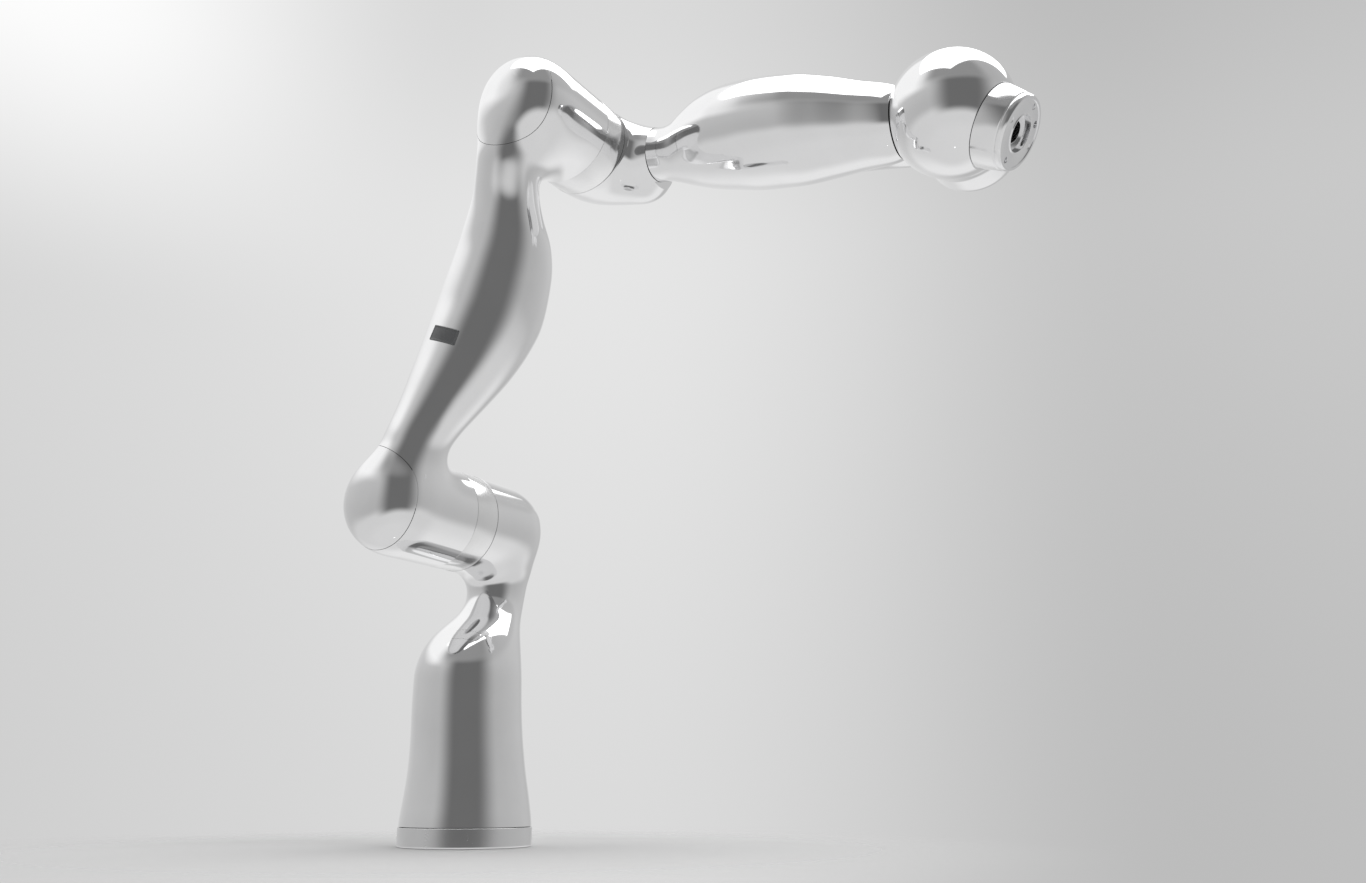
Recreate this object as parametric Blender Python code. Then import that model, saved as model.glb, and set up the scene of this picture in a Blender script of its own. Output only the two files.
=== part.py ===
"""Six-axis collaborative robot arm, modelled at its real size as an assembly.

World frame: +Z up, the first joint's axis is the Z axis, the floor is z = 0,
the arm reaches along +X, and the two round covers of the upper arm face -Y.
All driving dimensions are in millimetres and are turned into metres by MM.
"""

import math

import bpy
from mathutils import Matrix, Vector

MM = 0.001
GAP = 0.3  # clearance between two fixed pieces
WALL = 3.0  # wall of the cast shells
SEG = 20  # sides of the outer shells
INNER_SEG = 16  # sides of the pieces inside the drives

# ---- joint centres and directions -------------------------------------
FOOT_R, FOOT_H = 61.5, 17.0
BOLT_PCD = 97.6  # circle of the four mounting bolts
SHOULDER = Vector((0.0, 0.0, 299.0))  # joint 2 axis, along Y
ELBOW = Vector((137.0, 0.0, 666.0))  # joint 3 axis, along Y
WRIST = Vector((502.0, 0.0, 611.0))  # joint 5 axis, along Y
FOREARM_DIR = (WRIST - ELBOW).normalized()  # joint 4 axis
UPPER_DIR = (ELBOW - SHOULDER).normalized()
FLANGE_TILT = 32.5  # joint 6 axis below the horizontal, degrees
FLANGE_DIR = Vector((math.cos(math.radians(FLANGE_TILT)), 0.0, -math.sin(math.radians(FLANGE_TILT))))

BARREL_R = 47.5  # radius of the shoulder and elbow heads
RING_NEAR, RING_FAR = -59.4, -30.4  # the flat joint rings, along Y
NEAR_FACE = -60.0  # where the upper arm starts, along Y
COVER_Y = -150.0  # seam of the two round covers
SEAM_4 = 70.0  # joint 4 seam, along FOREARM_DIR from the elbow axis
SEAM_5 = 38.0  # joint 5 seam, along Y
SEAM_6 = 41.0  # joint 6 seam, along FLANGE_DIR from the wrist centre
FLANGE_FACE = 67.0
FLANGE_R = 31.5
HOUSING_R = 54.0  # radius of the forearm's round end


# blank plate: place along the arm, length, angle round the arm and its span in degrees, rows, columns
PLATE = (160.0, 23.0, 184.0, 34.0, 2, 4)


# ---- helpers ------------------------------------------------------------
def clear_scene():
    for obj in list(bpy.data.objects):
        bpy.data.objects.remove(obj, do_unlink=True)


MATERIALS = {}


def material(name, colour, rough, metal):
    if name not in MATERIALS:
        mat = bpy.data.materials.new(name)
        mat.use_nodes = True
        bsdf = mat.node_tree.nodes["Principled BSDF"]
        bsdf.inputs["Base Color"].default_value = (*colour, 1.0)
        bsdf.inputs["Roughness"].default_value = rough
        bsdf.inputs["Metallic"].default_value = metal
        mat.diffuse_color = (*colour, 1.0)
        MATERIALS[name] = mat
    return MATERIALS[name]


def chrome():
    return material("polished_chrome", (0.86, 0.86, 0.87), 0.06, 1.0)


def satin():
    return material("satin_aluminium", (0.72, 0.73, 0.74), 0.32, 1.0)


def steel():
    return material("ground_steel", (0.55, 0.56, 0.58), 0.28, 1.0)


def copper():
    return material("copper_winding", (0.72, 0.40, 0.22), 0.40, 1.0)


def board_green():
    return material("circuit_board", (0.05, 0.22, 0.12), 0.45, 0.0)


def dark_plastic():
    return material("dark_plastic", (0.05, 0.05, 0.055), 0.45, 0.0)


def new_object(name, verts, faces, mat=None):
    mesh = bpy.data.meshes.new(name)
    mesh.from_pydata([v * MM for v in verts], [], faces)
    mesh.update()
    obj = bpy.data.objects.new(name, mesh)
    bpy.context.scene.collection.objects.link(obj)
    if mat:
        mesh.materials.append(mat)
        mesh.shade_smooth()
        mesh.set_sharp_from_angle(angle=math.radians(35))
    return obj


def basis(direction):
    """Two unit vectors square to a direction."""
    d = Vector(direction).normalized()
    u = Vector((0, 0, 1)).cross(d)
    if u.length < 1e-4:
        u = Vector((1, 0, 0))
    u.normalize()
    return u, d.cross(u)


def turned(name, origin, direction, profile, mat=None, seg=SEG):
    """A solid of revolution: profile is (s, r) from one end to the other, and r = 0 is a pole."""
    u, v = basis(direction)
    d = Vector(direction).normalized()
    verts, rings = [], []
    for s, r in profile:
        centre = Vector(origin) + d * s
        if r == 0:
            rings.append([len(verts)])
            verts.append(centre)
            continue
        ring = []
        for k in range(seg):
            a = 2 * math.pi * k / seg
            ring.append(len(verts))
            verts.append(centre + u * (r * math.cos(a)) + v * (r * math.sin(a)))
        rings.append(ring)
    faces = []
    for lower, upper in zip(rings[:-1], rings[1:]):
        for k in range(seg):
            n = (k + 1) % seg
            if len(lower) == 1:
                faces.append((lower[0], upper[n], upper[k]))
            elif len(upper) == 1:
                faces.append((lower[k], lower[n], upper[0]))
            else:
                faces.append((lower[k], lower[n], upper[n], upper[k]))
    if len(rings[0]) > 1:
        faces.append(tuple(reversed(rings[0])))
    if len(rings[-1]) > 1:
        faces.append(tuple(rings[-1]))
    return new_object(name, verts, faces, mat)


def turned_ring(name, origin, direction, profile, mat=None, seg=INNER_SEG):
    """A ring of revolution: profile is a closed loop of (s, r > 0), run out along the outside and back along the bore."""
    u, v = basis(direction)
    d = Vector(direction).normalized()
    n = len(profile)
    verts = []
    for k in range(seg):
        a = 2 * math.pi * k / seg
        radial = u * math.cos(a) + v * math.sin(a)
        for s, r in profile:
            verts.append(Vector(origin) + d * s + radial * r)
    faces = []
    for k in range(seg):
        m = (k + 1) % seg
        for i in range(n):
            j = (i + 1) % n
            faces.append((k * n + i, m * n + i, m * n + j, k * n + j))
    return new_object(name, verts, faces, mat)


def annulus(name, origin, direction, s0, s1, r_in, r_out, mat, seg=INNER_SEG):
    return turned_ring(name, origin, direction, [(s0, r_out), (s1, r_out), (s1, r_in), (s0, r_in)], mat, seg)


def lofted(name, stations, direction, mat=None, seg=SEG):
    """Round sections square to one direction, joined end to end; stations are (centre, radius)."""
    u, v = basis(direction)
    verts, faces = [], []
    for centre, r in stations:
        for k in range(seg):
            a = 2 * math.pi * k / seg
            verts.append(Vector(centre) + u * (r * math.cos(a)) + v * (r * math.sin(a)))
    for i in range(len(stations) - 1):
        for k in range(seg):
            n = (k + 1) % seg
            faces.append((i * seg + k, i * seg + n, (i + 1) * seg + n, (i + 1) * seg + k))
    faces.append(tuple(reversed(range(seg))))
    last = (len(stations) - 1) * seg
    faces.append(tuple(range(last, last + seg)))
    return new_object(name, verts, faces, mat)


def block(name, centre, size, mat=None, turn=None):
    """A box with its own axes given by a rotation matrix."""
    sx, sy, sz = (c / 2 for c in size)
    corners = [Vector((x * sx, y * sy, z * sz)) for x in (-1, 1) for y in (-1, 1) for z in (-1, 1)]
    if turn is not None:
        corners = [turn @ c for c in corners]
    verts = [Vector(centre) + c for c in corners]
    faces = [(0, 1, 3, 2), (4, 6, 7, 5), (0, 4, 5, 1), (2, 3, 7, 6), (0, 2, 6, 4), (1, 5, 7, 3)]
    return new_object(name, verts, faces, mat)


def combine(target, other, operation):
    """A Boolean, applied, with the second shape removed afterwards."""
    modifier = target.modifiers.new(operation.lower(), "BOOLEAN")
    modifier.operation = operation
    modifier.solver = "EXACT"
    modifier.object = other
    bpy.context.view_layer.update()
    graph = bpy.context.evaluated_depsgraph_get()
    mesh = bpy.data.meshes.new_from_object(target.evaluated_get(graph))
    target.modifiers.clear()
    old = target.data
    target.data = mesh
    bpy.data.meshes.remove(old)
    bpy.data.objects.remove(other, do_unlink=True)
    return target


def united(name, pieces, mat=None):
    body = pieces[0]
    for piece in pieces[1:]:
        combine(body, piece, "UNION")
    body.name = name
    if mat:
        body.data.materials.clear()
        body.data.materials.append(mat)
        body.data.shade_smooth()
        body.data.set_sharp_from_angle(angle=math.radians(35))
    return body


def cut(body, *cutters):
    for cutter in cutters:
        combine(body, cutter, "DIFFERENCE")
    return body


def finish(body, mat):
    body.data.materials.clear()
    body.data.materials.append(mat)
    body.data.shade_smooth()
    body.data.set_sharp_from_angle(angle=math.radians(35))
    return body


def dome(s0, s1, r, steps=4, power=2.4):
    """(s, r) from s0 at full radius to a pole at s1, as a superellipse."""
    out = []
    for i in range(steps + 1):
        t = math.sin(0.5 * math.pi * i / steps)
        out.append((s0 + (s1 - s0) * t, r * (max(0.0, 1 - t**power)) ** (1 / power)))
    out[-1] = (s1, 0)
    return out


Y = Vector((0, 1, 0))
Z = Vector((0, 0, 1))


# ---- shapes of the shells, each asked for at full size or shrunk by the wall ------
def column_shape(inset):
    """Foot end wide, a straight taper, then a neck set off to +Y that carries the shoulder head."""
    w = inset
    rows = [(17.6, 0, 59.5), (60, 0, 54.9), (120, 0, 49.8), (165, 0, 46.2), (188, 3, 42), (202, 12, 36.5), (216, 24, 30), (230, 31, 27), (246, 32, 28.5), (268, 28, 34)]
    if w:
        rows[0] = (10, 0, 60.3)
    lower = lofted("lower", [(Vector((0, y, z)), r - w) for z, y, r in rows], Z)
    near = RING_FAR + GAP - (6 if w else 0)
    profile = [(near, BARREL_R - w), (16, BARREL_R - w)] + dome(16, 64 - w, BARREL_R - w)[1:]
    head = turned("head", SHOULDER, Y, profile)
    return united("column", [lower, head])


def upper_arm_shape(inset):
    """Two round heads on the -Y side, joined by a body that bows in between two slim necks."""
    w = inset
    rows = [(24 + w, -116, 31)] + UPPER_ROWS + [(350 - w, -117, 31.5)]
    body = lofted("body", [(SHOULDER + UPPER_DIR * s + Y * y, r - w) for s, y, r in rows], UPPER_DIR)
    heads = []
    for name, centre in (("low_head", SHOULDER), ("high_head", ELBOW)):
        near = NEAR_FACE - w - 0.6 * (1 if w and name == "low_head" else 0)
        if w and name == "high_head":
            near = NEAR_FACE + 6  # the drive passes through this side
        far = COVER_Y - (6 if w else 0)
        heads.append(turned(name, centre, Y, [(far, BARREL_R - 1.5 - w), (-134, BARREL_R - w), (near, BARREL_R - w)]))
    return united("upper_arm", [body] + heads)


def elbow_shape(inset):
    """A round head past the joint ring and a cone that runs out along the joint 4 axis."""
    w = inset
    near = RING_FAR + GAP - (6 if w else 0)
    profile = [(near, BARREL_R - w), (-8, BARREL_R - 1 - w)] + dome(-8, 46 - w, BARREL_R - 1 - w)[1:]
    head = turned("head", ELBOW, Y, profile)
    rows = [(-6, 40), (24, 42), (44, 39), (58, 34.5), (SEAM_4 - GAP, 30)]
    if w:
        rows = [(0, 40), (24, 42), (44, 39), (58, 34.5), (SEAM_4 + 6, 29)]
    cone = lofted("cone", [(ELBOW + FOREARM_DIR * s, r - w) for s, r in rows], FOREARM_DIR)
    cut(cone, block("plane", ELBOW + Y * (RING_FAR + GAP + w - 50), (400, 100, 400)))
    return united("elbow", [head, cone])


def forearm_shape(inset):
    """A long swollen body on the joint 4 axis that ends in a round housing on the +Y side of the wrist."""
    w = inset
    up = Vector((0, 1, 0)).cross(FOREARM_DIR) * -1
    rows = [(SEAM_4 + GAP, 0, 27), (84, 0, 27.5), (94, 1.5, 32), (108, 4.5, 39), (126, 6.8, 44.6), (150, 7.7, 49.5), (185, 6.8, 52.3), (220, 5.4, 51.2), (255, 3.6, 46), (285, 1, 40), (318, -2, 34)]
    if w:
        rows[0] = (SEAM_4 - 6, 0, 27)
        rows[-1] = (314, -2, 34)
    body = lofted("body", [(ELBOW + FOREARM_DIR * s + up * e, r - w) for s, e, r in rows], FOREARM_DIR)
    bridge = lofted("bridge", [(ELBOW + FOREARM_DIR * s + Y * y, r - w) for s, y, r in ((236, 22, 26), (280, 38, 28), (325, 54, 27), (360, 60, 24))], FOREARM_DIR)
    seam = SEAM_5 + 0.6
    arm = united("forearm", [body, bridge])
    cut(arm, turned("swing", WRIST, Y, [(-80, 60.5 + w), (seam + w, 60.5 + w)]))
    profile = [(seam - (6 if w else 0), HOUSING_R - 1.5 - w), (seam + 10, HOUSING_R - w)] + dome(seam + 10, seam + 41 - w, HOUSING_R - w)[1:]
    housing = turned("housing", WRIST, Y, profile)
    return united("forearm", [arm, housing])


def wrist_shape(inset):
    """A rounded barrel on the joint 6 axis, cut flat where it meets the forearm's round housing."""
    w = inset
    back = [(s, r) for s, r in reversed(dome(14, 57 - w, 52.5 - w, steps=5, power=2.2))]
    profile = [(-s, r) for s, r in back] + [(16, 52.5 - w), (29, 48.5 - w), (SEAM_6 - GAP + (6 if w else 0), 38 - w)]
    barrel = turned("barrel", WRIST, FLANGE_DIR, profile)
    cut(barrel, block("plane", WRIST + Y * (SEAM_5 - w + 60), (300, 120, 300)))
    hub = turned("hub", WRIST, Y, [(-8, 49 - w), (SEAM_5 - w, 48 - w)])
    cut(hub, turned("front", WRIST, FLANGE_DIR, [(SEAM_6 - GAP - w, 120), (200, 120)]))
    return united("wrist", [barrel, hub])


def shell(name, shape, mat, *extra_cutters):
    body = shape(0)
    cut(body, shape(WALL), *extra_cutters)
    body.name = name
    return finish(body, mat)


# ---- one drive unit per joint ------------------------------------------
def drive(tag, origin, direction, length, radius):
    """Motor, strain wave gear, output bearing and output flange in one tube; s runs from the parent to the child."""
    k = length
    r = radius
    inner = r - 3.6
    turned_ring(f"{tag}_drive_housing", origin, direction, [(0, r), (0.78 * k, r), (0.78 * k, r - 2.8), (3, r - 2.8), (3, 0.60 * r), (0, 0.60 * r)], satin())
    annulus(f"{tag}_motor_stator", origin, direction, 0.12 * k, 0.34 * k, 0.66 * r, inner, copper())
    turned_ring(
        f"{tag}_motor_rotor",
        origin,
        direction,
        [(0.12 * k, 0.61 * r), (0.33 * k, 0.61 * r), (0.33 * k, 0.42 * r), (0.40 * k, 0.42 * r), (0.40 * k, 0.55 * r), (0.50 * k, 0.55 * r), (0.50 * k, 0.30 * r), (0.12 * k, 0.30 * r)],
        steel(),
    )
    annulus(f"{tag}_strain_wave_gear", origin, direction, 0.38 * k, 0.53 * k, 0.60 * r, inner, steel())
    annulus(f"{tag}_output_bearing", origin, direction, 0.56 * k, 0.73 * k, 0.79 * r, inner, steel())
    turned_ring(
        f"{tag}_output_flange",
        origin,
        direction,
        [(0.56 * k, 0.74 * r), (0.81 * k, 0.74 * r), (0.81 * k, 0.97 * r), (k, 0.97 * r), (k, 0.30 * r), (0.56 * k, 0.30 * r)],
        satin(),
    )


UPPER_ROWS = [(58, -121, 28.6), (78, -113.5, 31), (95, -104, 36.5), (115, -93.5, 43.5), (145, -86, 48.4), (200, -82.5, 50.4), (245, -85.5, 47.3), (275, -94.5, 42.2), (298, -110, 32.6), (318, -119, 30)]


def upper_at(s):
    """Sideways place and radius of the upper arm's body at a distance from the shoulder axis."""
    for (s0, y0, r0), (s1, y1, r1) in zip(UPPER_ROWS[:-1], UPPER_ROWS[1:]):
        if s0 <= s <= s1:
            t = (s - s0) / (s1 - s0)
            return y0 + (y1 - y0) * t, r0 + (r1 - r0) * t
    return UPPER_ROWS[-1][1:]


def name_plate():
    """A blank plate that hugs the upper arm: rows along the arm, columns round it, an inner and an outer skin."""
    u, v = basis(UPPER_DIR)
    at, length, turn, span, rows, cols = PLATE
    verts = []
    for lift in (0.4, 1.4):
        for i in range(rows + 1):
            s = at + length * (i / rows - 0.5)
            y, r = upper_at(s)
            for j in range(cols + 1):
                a = math.radians(turn + span * (j / cols - 0.5))
                verts.append(SHOULDER + UPPER_DIR * s + Y * y + (u * math.cos(a) + v * math.sin(a)) * (r + lift))
    n = (rows + 1) * (cols + 1)
    faces = []
    for i in range(rows):
        for j in range(cols):
            a, b = i * (cols + 1) + j, (i + 1) * (cols + 1) + j
            faces.append((a, b, b + 1, a + 1))
            faces.append((n + a, n + a + 1, n + b + 1, n + b))
    rim = [j for j in range(cols + 1)] + [i * (cols + 1) + cols for i in range(1, rows + 1)]
    rim += [rows * (cols + 1) + j for j in range(cols - 1, -1, -1)] + [i * (cols + 1) for i in range(rows - 1, 0, -1)]
    for a, b in zip(rim, rim[1:] + rim[:1]):
        faces.append((a, b, n + b, n + a))
    return new_object("blank_name_plate", verts, faces, dark_plastic())


def main():
    clear_scene()

    # base: the foot, its connectors and the first joint's drive
    foot = turned("base_foot", (0, 0, 0), Z, [(0, FOOT_R - 1.0), (1.0, FOOT_R), (FOOT_H - 0.6, FOOT_R), (FOOT_H, FOOT_R - 0.6)], satin(), seg=28)
    cut(foot, turned("well", (0, 0, 0), Z, [(8, 54), (30, 54)]), turned("bore", (0, 0, 0), Z, [(-5, 16), (20, 16)], seg=16))
    for k in range(4):
        a = math.radians(45 + 90 * k)
        cut(foot, turned("bolt_hole", (BOLT_PCD / 2 * math.cos(a), BOLT_PCD / 2 * math.sin(a), 0), Z, [(-5, 3.3), (20, 3.3)], seg=8))
    finish(foot, chrome())
    for k in range(4):
        a = math.radians(45 + 90 * k)
        at = (BOLT_PCD / 2 * math.cos(a), BOLT_PCD / 2 * math.sin(a), 0)
        turned(f"base_bolt_{k + 1}", at, Z, [(-0.0 + 0.6, 2.9), (8.3, 2.9), (8.3, 4.4), (13.0, 4.4)], steel(), seg=8)
    for name, deg, r in (("base_power_connector", 142, 6.6), ("base_network_connector", 172, 5.4)):
        a = math.radians(deg)
        out = Vector((math.cos(a), math.sin(a), 0))
        turned(name, out * 0 + Z * 8.6, out, [(FOOT_R + 0.2, r), (FOOT_R + 7, r), (FOOT_R + 7, r - 1.2), (FOOT_R + 11, r - 1.2)], dark_plastic(), seg=10)
    drive("joint_1", (0, 0, 8.4), Z, 84, 43.5)

    # link 1
    floor = annulus("column_floor", (0, 0, 0), Z, 92.8, 97.8, 14, 47.4, satin(), seg=SEG)
    shell("column_shell", column_shape, chrome())
    turned_ring("shoulder_joint_ring", SHOULDER, Y, [(RING_NEAR, BARREL_R), (RING_FAR, BARREL_R), (RING_FAR, 43.0), (RING_NEAR, 43.0)], satin(), seg=SEG)
    drive("joint_2", SHOULDER + Y * 16.0, -Y, 75.2, 41.5)
    annulus("column_servo_board", (0, 0, 0), Z, 112, 113.6, 8, 38, board_green(), seg=12)

    # link 2
    shell("upper_arm_shell", upper_arm_shape, chrome(), turned("drive_hole", SHOULDER, Y, [(-70, 30), (-50, 30)]))
    for name, centre in (("shoulder_cover", SHOULDER), ("elbow_cover", ELBOW)):
        r = BARREL_R - 1.8
        turned(name, centre, -Y, [(-COVER_Y + GAP, r)] + dome(-COVER_Y + 1.5, -COVER_Y + 11, r, steps=3, power=2.0), chrome())
    drive("joint_3", ELBOW + Y * -134.6, Y, 74.6, 41.5)

    annulus("upper_arm_servo_board", SHOULDER, Y, -112, -110.4, 8, 36, board_green(), seg=12)
    name_plate()

    # link 3
    turned_ring("elbow_joint_ring", ELBOW, Y, [(RING_NEAR, BARREL_R), (RING_FAR, BARREL_R), (RING_FAR, 43.0), (-55.4, 43.0), (-55.4, 26.0), (RING_NEAR, 26.0)], satin(), seg=SEG)
    shell("elbow_shell", elbow_shape, chrome())
    drive("joint_4", ELBOW + FOREARM_DIR * 12.0, FOREARM_DIR, SEAM_4 + 6 - 12.0, 22.8)

    # link 4
    shell("forearm_shell", forearm_shape, chrome())
    drive("joint_5", WRIST + Y * (SEAM_5 + 30.0), -Y, 29.2, 40.0)

    annulus("forearm_servo_board", ELBOW + FOREARM_DIR * 176, FOREARM_DIR, 0, 1.6, 8, 38, board_green(), seg=12)

    # link 5
    shell("wrist_shell", wrist_shape, chrome(), turned("drive_hole", WRIST, Y, [(SEAM_5 - 12, 26), (SEAM_5 + 12, 26)]))
    drive("joint_6", WRIST + FLANGE_DIR * -30.0, FLANGE_DIR, SEAM_6 + 30.0 + 3.4, 28.5)

    # link 6
    collar = turned_ring("tool_flange", WRIST, FLANGE_DIR, [(SEAM_6 + GAP, 36.6), (FLANGE_FACE - 3, FLANGE_R + 1.3), (FLANGE_FACE, FLANGE_R), (FLANGE_FACE, 15.75), (FLANGE_FACE - 6, 15.75), (FLANGE_FACE - 6, 9.0), (SEAM_6 + 4, 9.0), (SEAM_6 + 4, 28.8), (SEAM_6 + GAP, 28.8)], satin(), seg=SEG)
    side, up = basis(FLANGE_DIR)
    for deg, r in ((0, 2.5), (90, 2.5), (180, 2.5), (270, 2.5), (45, 3.0)):
        a = math.radians(deg)
        at = WRIST + side * (25 * math.cos(a)) + up * (25 * math.sin(a))
        cut(collar, turned("tool_hole", at, FLANGE_DIR, [(FLANGE_FACE - 9, r), (FLANGE_FACE + 9, r)], seg=8))
    finish(collar, satin())


main()
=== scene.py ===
import math

import bmesh
import bpy
import numpy as np
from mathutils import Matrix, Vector


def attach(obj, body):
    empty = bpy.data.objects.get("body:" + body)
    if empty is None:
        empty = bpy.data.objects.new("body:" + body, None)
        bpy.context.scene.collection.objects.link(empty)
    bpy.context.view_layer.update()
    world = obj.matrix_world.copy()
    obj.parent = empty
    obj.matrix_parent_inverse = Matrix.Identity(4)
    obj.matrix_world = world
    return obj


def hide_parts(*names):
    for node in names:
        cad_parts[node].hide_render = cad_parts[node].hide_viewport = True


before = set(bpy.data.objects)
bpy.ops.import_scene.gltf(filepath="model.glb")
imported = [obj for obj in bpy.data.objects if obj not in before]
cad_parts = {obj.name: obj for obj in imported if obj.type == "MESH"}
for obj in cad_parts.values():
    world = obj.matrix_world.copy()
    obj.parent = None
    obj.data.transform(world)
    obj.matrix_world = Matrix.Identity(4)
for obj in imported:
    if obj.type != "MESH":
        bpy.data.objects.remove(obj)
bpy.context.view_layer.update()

MM = 0.001
STEP = 2.6  # grid of the shells, mm

# ---------------------------------------------------------------- the arm's own lines, mm
SHOULDER = np.array((0.0, 0.0, 299.0))
ELBOW = np.array((137.0, 0.0, 666.0))
WRIST = np.array((502.0, 0.0, 611.0))
X, Y, Z = np.eye(3)
FOREARM = (WRIST - ELBOW) / np.linalg.norm(WRIST - ELBOW)
UPPER = (ELBOW - SHOULDER) / np.linalg.norm(ELBOW - SHOULDER)
TILT = math.radians(32.5)
FLANGE = np.array((math.cos(TILT), 0.0, -math.sin(TILT)))
FORE_UP = np.cross(FOREARM, Y)
SEAM_COVER = -150.0
SEAM_NEAR, SEAM_FAR = -60.0, -30.1
SEAM_4, SEAM_5, SEAM_6 = 70.0, 38.0, 41.0


# ---------------------------------------------------------------- smooth fields: negative inside, about in mm
def blur(values, sigma):
    n = int(3 * sigma) + 1
    kernel = np.exp(-0.5 * (np.arange(-n, n + 1) / sigma) ** 2)
    kernel /= kernel.sum()
    padded = np.concatenate([2 * values[0] - values[n:0:-1], values, 2 * values[-1] - values[-2:-n - 2:-1]])
    return np.convolve(padded, kernel, "valid")


def table(rows, sigma=4.0):
    """Rows (s, a, b, ...) as a function of s: a monotone curve through the rows, then eased."""
    rows = np.array(rows, float)
    s = rows[:, 0]
    fine = np.arange(s[0], s[-1] + 1.0, 1.0)
    out = []
    for c in range(1, rows.shape[1]):
        v = rows[:, c]
        h, d = np.diff(s), np.diff(v) / np.diff(s)
        m = np.zeros(len(s))
        m[1:-1] = np.where(d[:-1] * d[1:] > 0, 2 * d[:-1] * d[1:] / np.where(np.abs(d[:-1] + d[1:]) > 1e-9, d[:-1] + d[1:], 1), 0)
        m[0], m[-1] = d[0], d[-1]
        i = np.clip(np.searchsorted(s, fine, "right") - 1, 0, len(s) - 2)
        t = np.clip((fine - s[i]) / h[i], 0, 1)
        curve = (2 * t**3 - 3 * t**2 + 1) * v[i] + (t**3 - 2 * t**2 + t) * h[i] * m[i] + (-2 * t**3 + 3 * t**2) * v[i + 1] + (t**3 - t**2) * h[i] * m[i + 1]
        out.append(blur(curve, sigma))
    slopes = [np.gradient(c, fine) for c in out]
    return lambda q: [np.interp(q, fine, c) for c in out] + [np.interp(q, fine, c, 0.0, 0.0) for c in slopes] + [np.maximum(0, np.maximum(fine[0] - q, q - fine[-1]))]


def tube(origin, direction, side, rows, sigma=4.0, flat=1.0, flat_axis=None):
    """A tube of varying radius whose middle moves sideways: rows are (s, sideways, radius)."""
    at = table(rows, sigma)

    def field(p):
        q = p - origin
        s = q @ direction
        y, r, dy, dr, past = at(s)
        off = q - np.outer(s, direction) - y[:, None] * side
        if flat_axis is not None:
            off = off + np.outer(off @ flat_axis, flat_axis) * (flat - 1.0)
        rho = np.linalg.norm(off, axis=1) + 1e-6
        lean = (off @ side) / rho * dy + dr
        return (rho - r) / np.sqrt(1 + lean**2) + past

    return field


def drum(origin, direction, a, b, low, high, radius, power, radius_low=None):
    """A round body about an axis: straight from a to b, closed by domes of height low and high."""

    def field(p):
        q = p - origin
        s = q @ direction
        rho = np.linalg.norm(q - np.outer(s, direction), axis=1) + 1e-4
        r = radius if radius_low is None else radius + (radius_low - radius) * np.clip((b - s) / (b - a), 0, 1)
        u = np.where(s < a, (a - s) / low, np.where(s > b, (s - b) / high, 0.0))
        h = np.where(s < a, low, high)
        v = rho / r
        g = (u**power + v**power) ** (1 / power)
        gs = (u / g) ** (power - 1) / h
        gr = (v / g) ** (power - 1) / r
        return (g - 1) / np.maximum(np.sqrt(gs**2 + gr**2), 0.4 / np.maximum(r, h))

    return field


def ball(centre, radius, squeeze=(1, 1, 1)):
    k = np.array(squeeze, float)

    def field(p):
        q = (p - centre) / k
        n = np.linalg.norm(q, axis=1) + 1e-6
        g = np.linalg.norm(q / k, axis=1) / n
        return (n - radius) / np.maximum(g, 0.2)

    return field


def smin(a, b, k):
    h = np.maximum(k - np.abs(a - b), 0) / k
    return np.minimum(a, b) - h * h * h * k / 6


def union(k, *fields):
    def field(p):
        d = fields[0](p)
        for f in fields[1:]:
            d = smin(d, f(p), k)
        return d

    return field


def less(k, field, cutter):
    """Field with the cutter taken away, the edge eased over k."""
    return lambda p: -smin(-field(p), cutter(p), k)


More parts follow.
